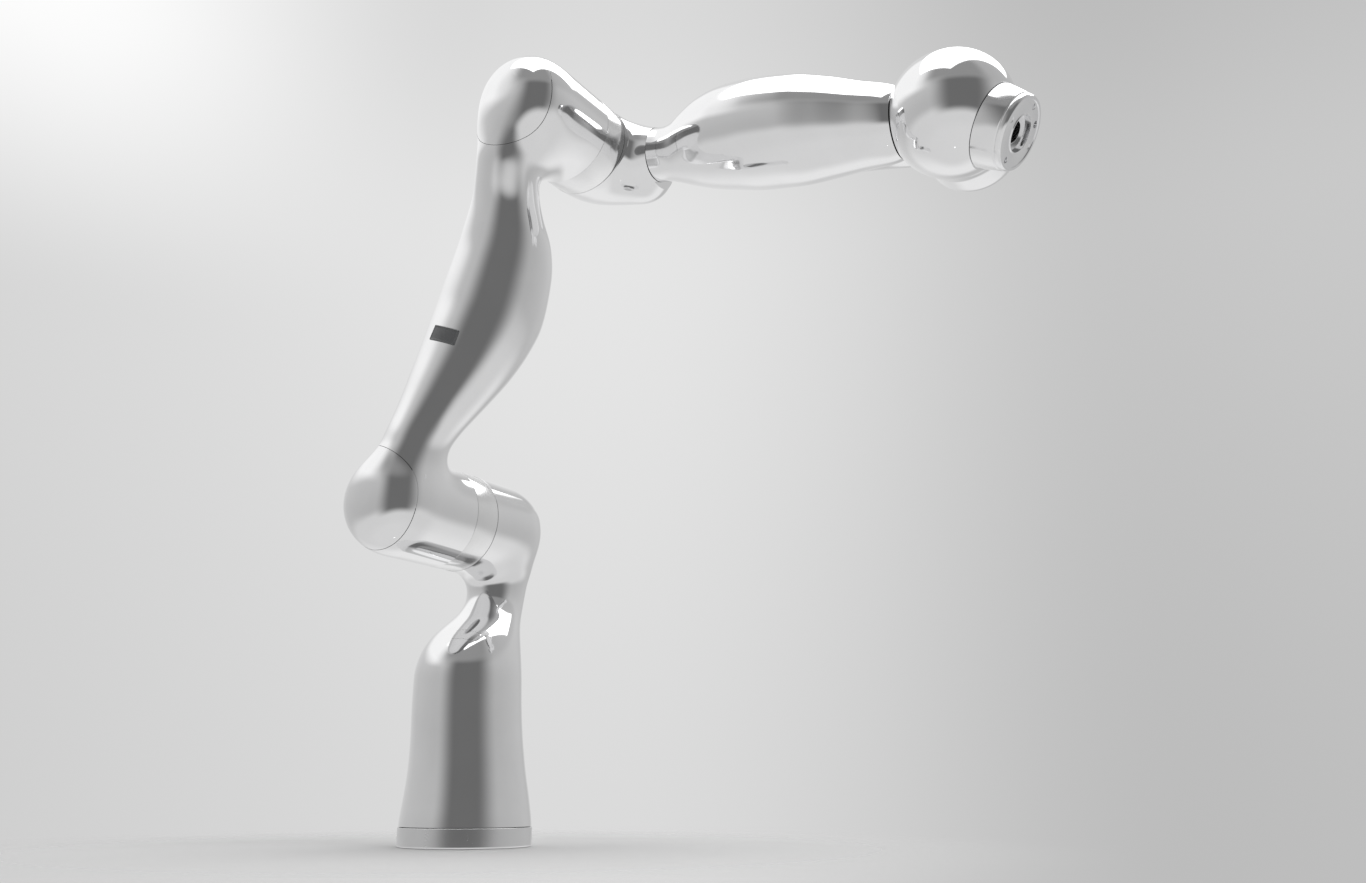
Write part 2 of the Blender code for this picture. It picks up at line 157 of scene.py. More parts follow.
# ---------------------------------------------------------------- fields to meshes
def skin(field, low, high, step, ease=2):
    """The field's zero surface as quads: one vertex per grid cell that the surface crosses, then drawn onto the field."""
    low, high = np.array(low, float), np.array(high, float)
    middle, half, whole = (low + high) / 2, (high - low) / 2 - 1.2 * step, field
    field = lambda p: np.maximum(whole(p), (np.abs(p - middle) - half).max(1))  # closed at the grid's sides
    n = np.ceil((high - low) / step).astype(int) + 1
    axes = [low[i] + step * np.arange(n[i]) for i in range(3)]
    grid = np.stack(np.meshgrid(*axes, indexing="ij"), -1).reshape(-1, 3)
    value = np.concatenate([field(grid[i:i + 200000]) for i in range(0, len(grid), 200000)]).reshape(n)
    inside = value < 0
    cells = n - 1
    total = np.zeros((*cells, 3))
    count = np.zeros(cells)
    corner = lambda a, b, c: (slice(a, a + cells[0]), slice(b, b + cells[1]), slice(c, c + cells[2]))
    for axis in range(3):
        for u in (0, 1):
            for v in (0, 1):
                start = [0, 0, 0]
                others = [i for i in range(3) if i != axis]
                start[others[0]], start[others[1]] = u, v
                end = list(start)
                end[axis] = 1
                va, vb = value[corner(*start)], value[corner(*end)]
                hit = (va < 0) != (vb < 0)
                t = np.where(hit, va / np.where(hit, va - vb, 1), 0)
                point = np.zeros((*cells, 3))
                point[..., others[0]], point[..., others[1]] = u, v
                point[..., axis] = t
                total += point * hit[..., None]
                count += hit
    used = count > 0
    index = -np.ones(cells, int)
    index[used] = np.arange(used.sum())
    where = np.argwhere(used)
    verts = low + step * (where + total[used] / count[used][:, None])
    faces = []
    for axis in range(3):
        a, b = [i for i in range(3) if i != axis]
        if axis == 1:
            a, b = b, a
        s0 = [slice(1, cells[i]) for i in range(3)]
        s0[axis] = slice(0, cells[axis])
        s1 = [slice(1, cells[i]) for i in range(3)]
        s1[axis] = slice(1, cells[axis] + 1)
        i0, i1 = inside[tuple(s0)], inside[tuple(s1)]

        def shifted(da, db):
            s = [None] * 3
            s[axis] = slice(0, cells[axis])
            s[a] = slice(1 - da, cells[a] - da)
            s[b] = slice(1 - db, cells[b] - db)
            return index[tuple(s)]

        quad = np.stack([shifted(1, 1), shifted(0, 1), shifted(0, 0), shifted(1, 0)], -1)
        ok = (quad >= 0).all(-1)
        out, back = quad[i0 & ~i1 & ok], quad[~i0 & i1 & ok]
        faces += [out, back[:, ::-1]]
    faces = np.concatenate(faces)

    def drawn(v, rounds=2):
        for _ in range(rounds):
            d = field(v)
            e = 0.4
            g = np.stack([field(v + e * X) - field(v - e * X), field(v + e * Y) - field(v - e * Y), field(v + e * Z) - field(v - e * Z)], 1) / (2 * e)
            v = v - g * np.clip(d / np.maximum((g**2).sum(1), 0.15), -1.5, 1.5)[:, None]
        return v

    verts = drawn(verts)
    edges = np.concatenate([faces[:, [i, (i + 1) % 4]] for i in range(4)])
    degree = np.bincount(edges.ravel(), minlength=len(verts)).astype(float)
    for _ in range(ease):
        for _ in range(3):
            mean = np.stack([np.bincount(edges[:, 0], verts[edges[:, 1], i], len(verts)) + np.bincount(edges[:, 1], verts[edges[:, 0], i], len(verts)) for i in range(3)], 1) / np.maximum(degree, 1)[:, None]
            verts = verts + 0.5 * (mean - verts)
        verts = drawn(verts)
    return verts, faces



def mesh_piece(name, verts, faces):
    mesh = bpy.data.meshes.new(name)
    mesh.vertices.add(len(verts))
    mesh.vertices.foreach_set("co", (np.asarray(verts, float) * MM).astype(np.float32).ravel())
    mesh.loops.add(faces.size)
    mesh.loops.foreach_set("vertex_index", faces.ravel().astype(np.int32))
    mesh.polygons.add(len(faces))
    mesh.polygons.foreach_set("loop_start", np.arange(0, faces.size, faces.shape[1], dtype=np.int32))
    mesh.update(calc_edges=True)
    mesh.validate()
    mesh.shade_smooth()
    obj = bpy.data.objects.new(name, mesh)
    bpy.context.scene.collection.objects.link(obj)
    return obj


def basis(direction):
    d = np.array(direction, float)
    d /= np.linalg.norm(d)
    u = np.cross(Z, d)
    if np.linalg.norm(u) < 1e-4:
        u = np.array((1.0, 0.0, 0.0))
    u /= np.linalg.norm(u)
    return u, np.cross(d, u), d


def rounded(profile, radius=0.5, steps=3, closed=True):
    """A profile (s, r) with its corners rounded."""
    pts = [np.array(p, float) for p in profile]
    out = []
    n = len(pts)
    for i, p in enumerate(pts):
        if not closed and i in (0, n - 1):
            out.append(tuple(p))
            continue
        a, b = pts[i - 1] - p, pts[(i + 1) % n] - p
        la, lb = np.linalg.norm(a), np.linalg.norm(b)
        cut = min(radius, 0.4 * la, 0.4 * lb)
        turn = abs(np.cross(a / la, b / lb))
        if turn < 0.15:
            out.append(tuple(p))
            continue
        start, end = p + a / la * cut, p + b / lb * cut
        for k in range(steps + 1):
            t = k / steps
            out.append(tuple((1 - t) ** 2 * start + 2 * t * (1 - t) * p + t**2 * end))
    return out


def turned(name, origin, direction, profile, seg=128, smooth=32):
    """A closed ring of revolution: profile is a loop of (s, r > 0), out along the outside and back along the bore."""
    u, v, d = basis(direction)
    n = len(profile)
    angle = 2 * np.pi * np.arange(seg) / seg
    radial = np.outer(np.cos(angle), u) + np.outer(np.sin(angle), v)
    prof = np.array(profile, float)
    verts = (np.array(origin, float) + prof[None, :, 0, None] * d + prof[None, :, 1, None] * radial[:, None, :]).reshape(-1, 3)
    k, i = np.meshgrid(np.arange(seg), np.arange(n), indexing="ij")
    m, j = (k + 1) % seg, (i + 1) % n
    faces = np.stack([k * n + i, m * n + i, m * n + j, k * n + j], -1).reshape(-1, 4)
    obj = mesh_piece(name, verts, faces)
    obj.data.set_sharp_from_angle(angle=math.radians(smooth))
    return obj


def boolean(obj, tool, operation, remove=True):
    modifier = obj.modifiers.new(operation, "BOOLEAN")
    modifier.operation = operation
    modifier.solver = "EXACT"
    modifier.object = tool
    bpy.context.view_layer.update()
    mesh = bpy.data.meshes.new_from_object(obj.evaluated_get(bpy.context.evaluated_depsgraph_get()))
    obj.modifiers.clear()
    old = obj.data
    obj.data = mesh
    mesh.name = obj.name
    bpy.data.meshes.remove(old)
    if remove:
        bpy.data.objects.remove(tool, do_unlink=True)
    return obj


def puck(origin, direction, s0, s1, r, seg=160, r1=None):
    """A plain closed cylinder used only as a cutter."""
    u, v, d = basis(direction)
    angle = 2 * np.pi * np.arange(seg) / seg
    radial = np.outer(np.cos(angle), u) + np.outer(np.sin(angle), v)
    o = np.array(origin, float)
    verts = np.concatenate([o + d * s0 + radial * r, o + d * s1 + radial * (r1 or r)]) * MM
    faces = [tuple(reversed(range(seg))), tuple(range(seg, 2 * seg))] + [(k, (k + 1) % seg, seg + (k + 1) % seg, seg + k) for k in range(seg)]
    mesh = bpy.data.meshes.new("cutter")
    mesh.from_pydata(verts.tolist(), [], faces)
    obj = bpy.data.objects.new("cutter", mesh)
    bpy.context.scene.collection.objects.link(obj)
    return obj


def slice_cutter(origin, a0, a1, r, y0, y1, seg=72):
    """A closed slice of a disc about Y, used only as a cutter; the angles are in degrees from X towards Z."""
    o = np.array(origin, float)
    angle = np.radians(np.linspace(a0, a1, seg))
    rim = [(0.0, 0.0)] + [(r * math.cos(t), r * math.sin(t)) for t in angle]
    n = len(rim)
    verts = np.array([(o[0] + p, o[1] + y, o[2] + q) for y in (y0, y1) for p, q in rim]) * MM
    faces = [tuple(range(n)), tuple(reversed(range(n, 2 * n)))] + [((k + 1) % n, k, n + k, n + (k + 1) % n) for k in range(n)]
    mesh = bpy.data.meshes.new("cutter")
    mesh.from_pydata(verts.tolist(), [], faces)
    obj = bpy.data.objects.new("cutter", mesh)
    bpy.context.scene.collection.objects.link(obj)
    return obj


def globe(origin, r, seg=144, rings=72):
    """A plain closed sphere used only as a cutter."""
    a = 2 * np.pi * np.arange(seg) / seg
    b = np.pi * np.arange(1, rings) / rings
    o = np.array(origin, float)
    body = [o + r * np.array((math.sin(t) * math.cos(q), math.cos(t), math.sin(t) * math.sin(q))) for t in b for q in a]
    verts = np.array(body + [o + Y * r, o - Y * r]) * MM
    n = seg * (rings - 1)
    faces = [(k * seg + j, k * seg + (j + 1) % seg, (k + 1) * seg + (j + 1) % seg, (k + 1) * seg + j) for k in range(rings - 2) for j in range(seg)]
    faces += [(n, (j + 1) % seg, j) for j in range(seg)] + [(n + 1, (rings - 2) * seg + j, (rings - 2) * seg + (j + 1) % seg) for j in range(seg)]
    mesh = bpy.data.meshes.new("cutter")
    mesh.from_pydata(verts.tolist(), [], faces)
    bm = bmesh.new()
    bm.from_mesh(mesh)
    bmesh.ops.recalc_face_normals(bm, faces=bm.faces[:])
    bm.to_mesh(mesh)
    bm.free()
    obj = bpy.data.objects.new("cutter", mesh)
    bpy.context.scene.collection.objects.link(obj)
    return obj


def slopes(field, v, e):
    return np.stack([field(v + e * a) - field(v - e * a) for a in np.eye(3)], 1) / (2 * e)


def polish(obj, field, sharp=35):
    """Normals straight from the field wherever the mesh lies on it, so that reflections run clean across the quads."""
    mesh = obj.data
    mesh.shade_smooth()
    mesh.set_sharp_from_angle(angle=math.radians(sharp))
    nv, nl, npoly = len(mesh.vertices), len(mesh.loops), len(mesh.polygons)
    co = np.zeros(nv * 3)
    mesh.vertices.foreach_get("co", co)
    co = co.reshape(-1, 3) / MM
    d = field(co)
    g = slopes(field, co, 1.2)
    g /= np.maximum(np.linalg.norm(g, axis=1), 1e-9)[:, None]
    on = np.abs(d) < 0.25
    vi = np.zeros(nl, int)
    mesh.loops.foreach_get("vertex_index", vi)
    fn = np.zeros(npoly * 3)
    mesh.polygons.foreach_get("normal", fn)
    fn = fn.reshape(-1, 3)
    ls = np.zeros(npoly, int)
    lt = np.zeros(npoly, int)
    mesh.polygons.foreach_get("loop_start", ls)
    mesh.polygons.foreach_get("loop_total", lt)
    face_of = np.repeat(np.arange(npoly), lt)
    order = np.zeros(nl, int)
    order[np.concatenate([np.arange(a, a + b) for a, b in zip(ls, lt)])] = face_of
    corner = np.zeros(nl * 3)
    mesh.corner_normals.foreach_get("vector", corner)
    corner = corner.reshape(-1, 3)
    good = on[vi] & ((fn[order] * g[vi]).sum(1) > 0.8)
    corner[good] = g[vi][good]
    mesh.normals_split_custom_set(corner.tolist())
    return obj


def cast(name, field, low, high, wall=3.0, webs=(), near=None):
    """A closed cast shell: the field's surface outside, and the same surface one wall in, turned to face its hollow.

    A web (origin, direction out, height, hole) is an end wall that keeps the hollow shut behind a cut, but for its round hole.
    The shell stays solid within a wall of near, a shape that is cut out of it later."""
    verts, faces = skin(field, low, high, STEP)

    def hollow(p):
        d = field(p) + wall
        for origin, out, height, hole in webs:
            q = p - origin
            s = q @ out
            rho = np.linalg.norm(q - np.outer(s, out), axis=1)
            shut = np.minimum(s - (height - 5.0), np.minimum(rho - hole, 66.0 - rho))
            d = np.maximum(d, shut)
        return d if near is None else np.maximum(d, 4.0 - near(p))

    inner, back = skin(hollow, low, high, 4.0, 1)
    return mesh_piece(name, np.concatenate([verts, inner]), np.concatenate([faces, back[:, ::-1] + len(verts)]))


def block(low, high, turn=None, origin=(0, 0, 0)):
    """A plain box used only as a cutter, in its own axes when turn (rows are its axes) is given."""
    c = np.array([(x, y, z) for x in (low[0], high[0]) for y in (low[1], high[1]) for z in (low[2], high[2])], float)
    if turn is not None:
        c = c @ np.array(turn)
    c = (c + np.array(origin)) * MM
    mesh = bpy.data.meshes.new("cutter")
    mesh.from_pydata(c.tolist(), [], [(0, 1, 3, 2), (4, 6, 7, 5), (0, 4, 5, 1), (2, 3, 7, 6), (0, 2, 6, 4), (1, 5, 7, 3)])
    obj = bpy.data.objects.new("cutter", mesh)
    bpy.context.scene.collection.objects.link(obj)
    return obj


# ---------------------------------------------------------------- shapes
def column_field():
    rows = [(-20, 0, 61.5), (17.6, 0, 61.1), (38, 0, 58.7), (69, -1.5, 54.5), (99, -3.8, 52.3), (130, -5.8, 51.4), (154, -6.2, 50.8), (172, -4.0, 48.2), (188, 1.5, 43.6), (202, 10.5, 37.3), (216, 22, 31), (230, 29, 28.5), (246, 31, 29.5), (262, 29, 33), (290, 24, 30), (310, 20, 14), (320, 18, -20)]
    body = tube(np.zeros(3), Z, Y, rows, 4.0)
    head = drum(SHOULDER, Y, -60, 18, 30, 46, 47.4, 2.4)
    return union(26, body, head)


def upper_arm_field():
    rows = [(-24, -116, -20), (-10, -116, 8), (8, -116, 26), (24, -116.5, 31), (40, -119.5, 30.2), (58, -119.5, 29.6), (78, -114.5, 31.4), (95, -108.5, 34.6), (115, -101.5, 38.9), (145, -92, 44.8), (175, -85.5, 48.8), (200, -82.5, 50.3), (245, -85.5, 47.3), (275, -93.5, 42.2), (298, -106.5, 34.2), (318, -117.5, 31.0), (336, -123.5, 30.2), (352, -122.5, 30), (372, -118, 22), (392, -116, 4), (405, -116, -20)]
    body = tube(SHOULDER, UPPER, Y, rows, 5.0)
    low_head = drum(SHOULDER, Y, -110, -30, 50.5, 20, 47.3, 2.5)
    high_head = drum(ELBOW, Y, -110, -30, 50.0, 20, 47.3, 2.6)
    chin = ball(ELBOW - UPPER * 25 - Y * 109 - X * 7, 40)
    return union(30, union(22, body, chin), low_head, high_head)


def elbow_field():
    head = tube(ELBOW, Y, Z, [(-80, 0, 47.25), (-28, 0, 47.2), (-12, 0.4, 45.6), (2, 2.2, 43.0), (16, 5.8, 38.4), (28, 8.6, 31.5), (36, 10, 23), (41, 10.5, 13), (45, 11, -4), (50, 11, -20)], 3.0)
    past_ring = lambda p: p[:, 1] - (SEAM_FAR + 0.5)
    rows = [(-50, 4, -20), (-30, 4, 20), (-6, 6, 37), (22, 9.5, 40), (38, 8.5, 37.8), (52, 4.5, 33), (62, 1.2, 29), (70, 0, 26.8), (90, 0, 24)]
    cone = tube(ELBOW, FOREARM, Y, rows, 4.0)
    lobe = ball(ELBOW + FOREARM * 47 + Y * 14 - FORE_UP * 14, 25)
    return union(24, head, less(12, cone, past_ring), lobe)


def forearm_field():
    rows = [(50, 0, 26), (70.3, 0, 26.6), (80, -0.5, 26.6), (92, 0, 29.5), (107, 3.2, 36.8), (126, 6.2, 44.4), (150, 7.7, 49.5), (185, 6.8, 52.3), (220, 5.4, 51.2), (255, 3.6, 46), (285, 1, 40), (318, -2, 34), (340, -4, 18), (352, -5, 0), (360, -5, -20)]
    body = tube(ELBOW, FOREARM, FORE_UP, rows, 3.2)
    rise = FOREARM * 110 + FORE_UP * 15
    rise /= np.linalg.norm(rise)
    bridge = tube(ELBOW + FOREARM * 250 - rise * 250, rise, Y, [(205, 12, -20), (215, 14, 6), (236, 22, 24), (280, 38, 26), (325, 53, 26), (360, 57, 24), (378, 58, 12), (390, 58, -20)], 4.0)
    housing = drum(WRIST, Y, 20, 58, 20, 22, 43.6, 2.9)
    crown = ball(WRIST + Y * 43 + FORE_UP * 24 + FOREARM * 5, 36.5)
    return union(16, union(22, body, bridge), housing, crown)


def wrist_field():
    hub = drum(WRIST, Y, -8, SEAM_5 + 20, 20, 20, 46.0, 3.0)
    return union(8, ball(WRIST, 55.6), hub)


SHELL = {}
turn_forearm = [FOREARM, Y, FORE_UP]
turn_flange = [FLANGE, Y, np.cross(FLANGE, Y)]

f = column_field()
o = cast("column_skin", f, (-66, -66, 2), (66, 68, 352), webs=[(SHOULDER, -Y, -SEAM_FAR, 43.2)])
boolean(o, block((-90, -90, -20), (90, 90, 17.6)), "DIFFERENCE")
boolean(o, block((-90, -120, 240), (90, SEAM_FAR, 380)), "DIFFERENCE")
SHELL["column"] = (o, f)

f = upper_arm_field()
o = cast("upper_arm_skin", f, (-54, -166, 244), (194, -26, 720), webs=[(SHOULDER, Y, SEAM_NEAR, 30.0), (ELBOW, Y, SEAM_NEAR, 43.2)])
for centre in (SHOULDER, ELBOW):
    boolean(o, puck(centre, Y, SEAM_NEAR, -5, 62), "DIFFERENCE")
covers = []
COVER = np.array((0.13, -0.93, -0.34))  # the round covers face outwards and a little down
COVER /= np.linalg.norm(COVER)
for tag, centre in (("shoulder_cover_skin", SHOULDER + (-3, 0, 3)), ("elbow_cover_skin", ELBOW + (-6, 0, 0))):
    cover = o.copy()
    cover.data = o.data.copy()
    cover.name = tag
    bpy.context.scene.collection.objects.link(cover)
    boolean(cover, puck(centre - Y * 140, COVER, -20.5, 60, 45.9), "INTERSECT")
    covers.append(cover)
for centre in (SHOULDER + (-3, 0, 3), ELBOW + (-6, 0, 0)):
    boolean(o, puck(centre - Y * 140, COVER, -21.0, 60, 46.25), "DIFFERENCE")
SHELL["upper_arm"] = (o, f)
SHELL["shoulder_cover"] = (covers[0], f)
SHELL["elbow_cover"] = (covers[1], f)

f = elbow_field()
o = cast("elbow_skin", f, ELBOW + (-52, -66, -62), ELBOW + (92, 52, 58), webs=[(ELBOW, -Y, -SEAM_FAR, -5.0), (ELBOW, FOREARM, SEAM_4, 23.4)])
boolean(o, block((-120, -120, -120), (160, SEAM_FAR, 120), origin=ELBOW), "DIFFERENCE")
boolean(o, block((SEAM_4 - 0.3, -90, -90), (SEAM_4 + 60, 90, 90), turn_forearm, ELBOW), "DIFFERENCE")
SHELL["elbow"] = (o, f)

f = forearm_field()
o = cast("forearm_skin", f, (180, -60, 545), (562, 88, 725), webs=[(ELBOW, -FOREARM, -SEAM_4, 23.4), (WRIST, -Y, -SEAM_5, 40.8)], near=ball(WRIST, 56.2))
boolean(o, block((-60, -120, -120), (SEAM_4 + 0.3, 120, 120), turn_forearm, ELBOW), "DIFFERENCE")
boolean(o, globe(WRIST, 56.3), "DIFFERENCE")
boolean(o, puck(WRIST, Y, 5, SEAM_5 + 0.6, 48.3), "DIFFERENCE")
boolean(o, slice_cutter(WRIST, -80, 121, 72, -60, 37.3), "DIFFERENCE")
SHELL["forearm"] = (o, f)

f = wrist_field()
o = cast("wrist_skin", f, WRIST + (-62, -62, -62), WRIST + (72, 62, 62), webs=[(WRIST, Y, SEAM_5, -5.0), (WRIST, FLANGE, SEAM_6, 29.2)])
boolean(o, block((-100, SEAM_5, -100), (100, 120, 100), origin=WRIST), "DIFFERENCE")
boolean(o, block((SEAM_6 - 0.3, -90, -90), (SEAM_6 + 60, 90, 90), turn_flange, WRIST), "DIFFERENCE")
SHELL["wrist"] = (o, f)


for o, f in SHELL.values():
    polish(o, f)


# ---------------------------------------------------------------- turned and small pieces
def ring_piece(name, origin, direction, profile, radius=0.5, seg=160, steps=3):
    return turned(name, origin, direction, rounded(profile, radius, steps), seg)


foot = ring_piece("base_foot_turned", (0, 0, 0), Z, [(0, 60.7), (0.9, 61.5), (17.0, 61.5), (17.0, 54.0), (8.0, 54.0), (8.0, 16.0), (0, 16.0)], 0.7, 192, 4)
for k in range(4):
    a = math.radians(45 + 90 * k)
    boolean(foot, puck((48.8 * math.cos(a), 48.8 * math.sin(a), 0), Z, -5, 20, 3.3, 32), "DIFFERENCE")
foot.data.shade_smooth()
foot.data.set_sharp_from_angle(angle=math.radians(32))

bolts = []
for k in range(4):
    a = math.radians(45 + 90 * k)
    at = (48.8 * math.cos(a), 48.8 * math.sin(a), 0)
    bolt = ring_piece(f"base_bolt_{k + 1}_turned", at, Z, [(0.6, 2.5), (1.0, 2.9), (8.3, 2.9), (8.3, 4.3), (12.9, 4.3), (12.9, 1.9), (10.2, 1.9), (10.2, 0.05), (0.6, 0.05)], 0.35, 40)
    bolts.append(bolt)


def connector(name, degrees, r, pins):
    a = math.radians(degrees)
    out = np.array((math.cos(a), math.sin(a), 0.0))
    start = 61.7
    body = ring_piece(name, Z * 8.6, out, [(start, r), (start + 1.6, r), (start + 1.6, r - 0.7), (start + 2.4, r - 0.7), (start + 2.4, r - 0.1), (start + 6.8, r - 0.1), (start + 6.8, r - 1.25), (start + 10.6, r - 1.25), (start + 10.6, r - 2.2), (start + 4.2, r - 2.2), (start + 4.2, 0.05), (start, 0.05)], 0.25, 64)
    for k in range(22):  # grip flutes round the nut
        b = 2 * math.pi * k / 22
        u, v, d = basis(out)
        at = Z * 8.6 + (u * math.cos(b) + v * math.sin(b)) * (r + 0.25)
        boolean(body, puck(at, out, start + 2.9, start + 6.3, 0.5, 10), "DIFFERENCE")
    made = []
    for k in range(pins):
        b = 2 * math.pi * k / pins
        u, v, d = basis(out)
        at = Z * 8.6 + (u * math.cos(b) + v * math.sin(b)) * (r - 2.2) * 0.55
        made.append(ring_piece(f"{name}_pin_{k + 1}", at, out, [(start + 4.3, 0.45), (start + 9.0, 0.45), (start + 9.3, 0.2), (start + 9.3, 0.03), (start + 4.3, 0.03)], 0.1, 16))
    body.data.shade_smooth()
    body.data.set_sharp_from_angle(angle=math.radians(32))
    return body, made


power, power_pins = connector("base_power_socket", 142, 6.6, 5)
network, network_pins = connector("base_network_socket", 172, 5.4, 4)

shoulder_ring = ring_piece("shoulder_ring_turned", SHOULDER, Y, [(-59.75, 47.3), (-30.35, 47.3), (-30.35, 43.0), (-59.75, 43.0)], 0.4, 192)
elbow_ring = ring_piece("elbow_ring_turned", ELBOW, Y, [(-59.75, 47.3), (-30.35, 47.3), (-30.35, 43.0), (-55.4, 43.0), (-55.4, 26.0), (-59.75, 26.0)], 0.4, 192)

flange = ring_piece(
    "tool_flange_turned",
    WRIST,
    FLANGE,
    [(40.95, 36.65), (60.6, 33.35), (61.1, 32.6), (61.9, 32.55), (62.3, 33.0), (65.2, 32.4), (67.0, 31.3), (67.0, 28.9), (66.1, 28.6), (66.1, 17.0), (67.0, 16.6), (67.0, 15.75), (61.0, 15.75), (61.0, 9.0), (45.0, 9.0), (45.0, 28.8), (40.95, 28.8)],
    0.3,
    192,
)
u, v, d = basis(FLANGE)
for deg, r in ((0, 2.5), (90, 2.5), (180, 2.5), (270, 2.5), (45, 3.0)):
    a = math.radians(deg)
    at = WRIST + (u * math.cos(a) + v * math.sin(a)) * 25.0
    boolean(flange, puck(at, FLANGE, 58, 80, r, 36), "DIFFERENCE")
    boolean(flange, puck(at, FLANGE, 65.7, 66.6, r, 36, r + 0.5), "DIFFERENCE")
flange.data.validate()
flange.data.shade_smooth()
flange.data.set_sharp_from_angle(angle=math.radians(32))


def plate_piece(name, field, at, length, degrees, span, rows=26, cols=44):
    """A blank plate that follows the casting under it: a raised rim, a shallow field, rounded corners, closed underneath."""
    u, v, d = basis(UPPER)
    ss = np.linspace(-0.5, 0.5, rows)
    aa = np.linspace(-0.5, 0.5, cols)
    s, a = np.meshgrid(ss, aa, indexing="ij")
    half_l, half_w = length / 2, math.radians(span) / 2 * 48.0
    x, y = s * length, a * 2 * half_w
    corner = 1.6
    squeeze = np.ones_like(x)
    dx = np.maximum(np.abs(x) - (half_l - corner), 0) / corner
    dy = np.maximum(np.abs(y) - (half_w - corner), 0) / corner
    over = np.maximum(np.hypot(dx, dy), 1e-6)
    biggest = np.maximum(dx, dy)
    k = np.where(over > 1e-5, biggest / over, 1.0)
    x = np.sign(x) * (np.minimum(np.abs(x), half_l - corner) + dx * k * corner)
    y = np.sign(y) * (np.minimum(np.abs(y), half_w - corner) + dy * k * corner)
    turn = math.radians(degrees) + y / 48.0
    mid = SHOULDER + UPPER * at - Y * 85.0
    p = mid + (x.ravel()[:, None]) * UPPER + (u * np.cos(turn.ravel())[:, None] + v * np.sin(turn.ravel())[:, None]) * 48.5
    for _ in range(6):
        g = slopes(field, p, 1.0)
        p = p - g * (field(p) / (g**2).sum(1))[:, None]
    g = slopes(field, p, 1.0)
    g /= np.linalg.norm(g, axis=1)[:, None]
    edge = np.minimum(half_l - np.abs(x), half_w - np.abs(y)).ravel()
    lift = 0.25 + 0.75 * np.clip(edge / 0.5, 0, 1) ** 0.5 - 0.30 * np.clip((edge - 1.3) / 0.5, 0, 1)
    top = p + g * lift[:, None]
    bottom = p + g * 0.12
    verts = np.concatenate([top, bottom])
    n = rows * cols
    i, j = np.meshgrid(np.arange(rows - 1), np.arange(cols - 1), indexing="ij")
    q = np.stack([i * cols + j, (i + 1) * cols + j, (i + 1) * cols + j + 1, i * cols + j + 1], -1).reshape(-1, 4)
    e1, e2 = verts[q[0, 1]] - verts[q[0, 0]], verts[q[0, 3]] - verts[q[0, 0]]
    if np.dot(np.cross(e1, e2), g[0]) < 0:
        q = q[:, ::-1]
    rim = list(range(cols)) + [i * cols + cols - 1 for i in range(1, rows)] + [(rows - 1) * cols + j for j in range(cols - 2, -1, -1)] + [i * cols for i in range(rows - 2, 0, -1)]
    rim = np.array(rim)
    nxt = np.roll(rim, -1)
    side = np.stack([rim, nxt, nxt + n, rim + n], -1)
    faces = np.concatenate([q, q[:, ::-1] + n, side])
    obj = mesh_piece(name, verts, faces)
    bm = bmesh.new()
    bm.from_mesh(obj.data)
    bmesh.ops.recalc_face_normals(bm, faces=bm.faces[:])
    bm.to_mesh(obj.data)
    bm.free()
    obj.data.shade_smooth()
    obj.data.set_sharp_from_angle(angle=math.radians(40))
    return obj


plate = plate_piece("blank_plate_curved", SHELL["upper_arm"][1], 160.0, 15.0, 184.0, 34.0)


# ---------------------------------------------------------------- materials
class Nodes:
    """Short names for building a node tree."""

    def __init__(self, tree):
        self.tree = tree

    def add(self, kind, values=None, **settings):
        node = self.tree.nodes.new(kind)
        for k, val in settings.items():
            setattr(node, k, val)
        for k, val in (values or {}).items():
            if isinstance(val, bpy.types.NodeSocket):
                self.tree.links.new(val, node.inputs[k])
            else:
                node.inputs[k].default_value = val
        return node

    def math(self, op, a, b=0.0, c=0.0, clamp=False):
        return self.add("ShaderNodeMath", {0: a, 1: b, 2: c}, operation=op, use_clamp=clamp).outputs[0]

    def ramp(self, value, low, high, out_low=0.0, out_high=1.0, kind="SMOOTHSTEP"):
        return self.add("ShaderNodeMapRange", {"Value": value, "From Min": low, "From Max": high, "To Min": out_low, "To Max": out_high}, interpolation_type=kind, clamp=True).outputs[0] if kind == "LINEAR" else self.add("ShaderNodeMapRange", {"Value": value, "From Min": low, "From Max": high, "To Min": out_low, "To Max": out_high}, interpolation_type=kind).outputs[0]

    def mix(self, factor, a, b):
        node = self.tree.nodes.new("ShaderNodeMix")
        node.data_type = "RGBA"
        for slot, val in ((0, factor), (6, a), (7, b)):
            if isinstance(val, bpy.types.NodeSocket):
                self.tree.links.new(val, node.inputs[slot])
            else:
                node.inputs[slot].default_value = val
        return node.outputs[2]


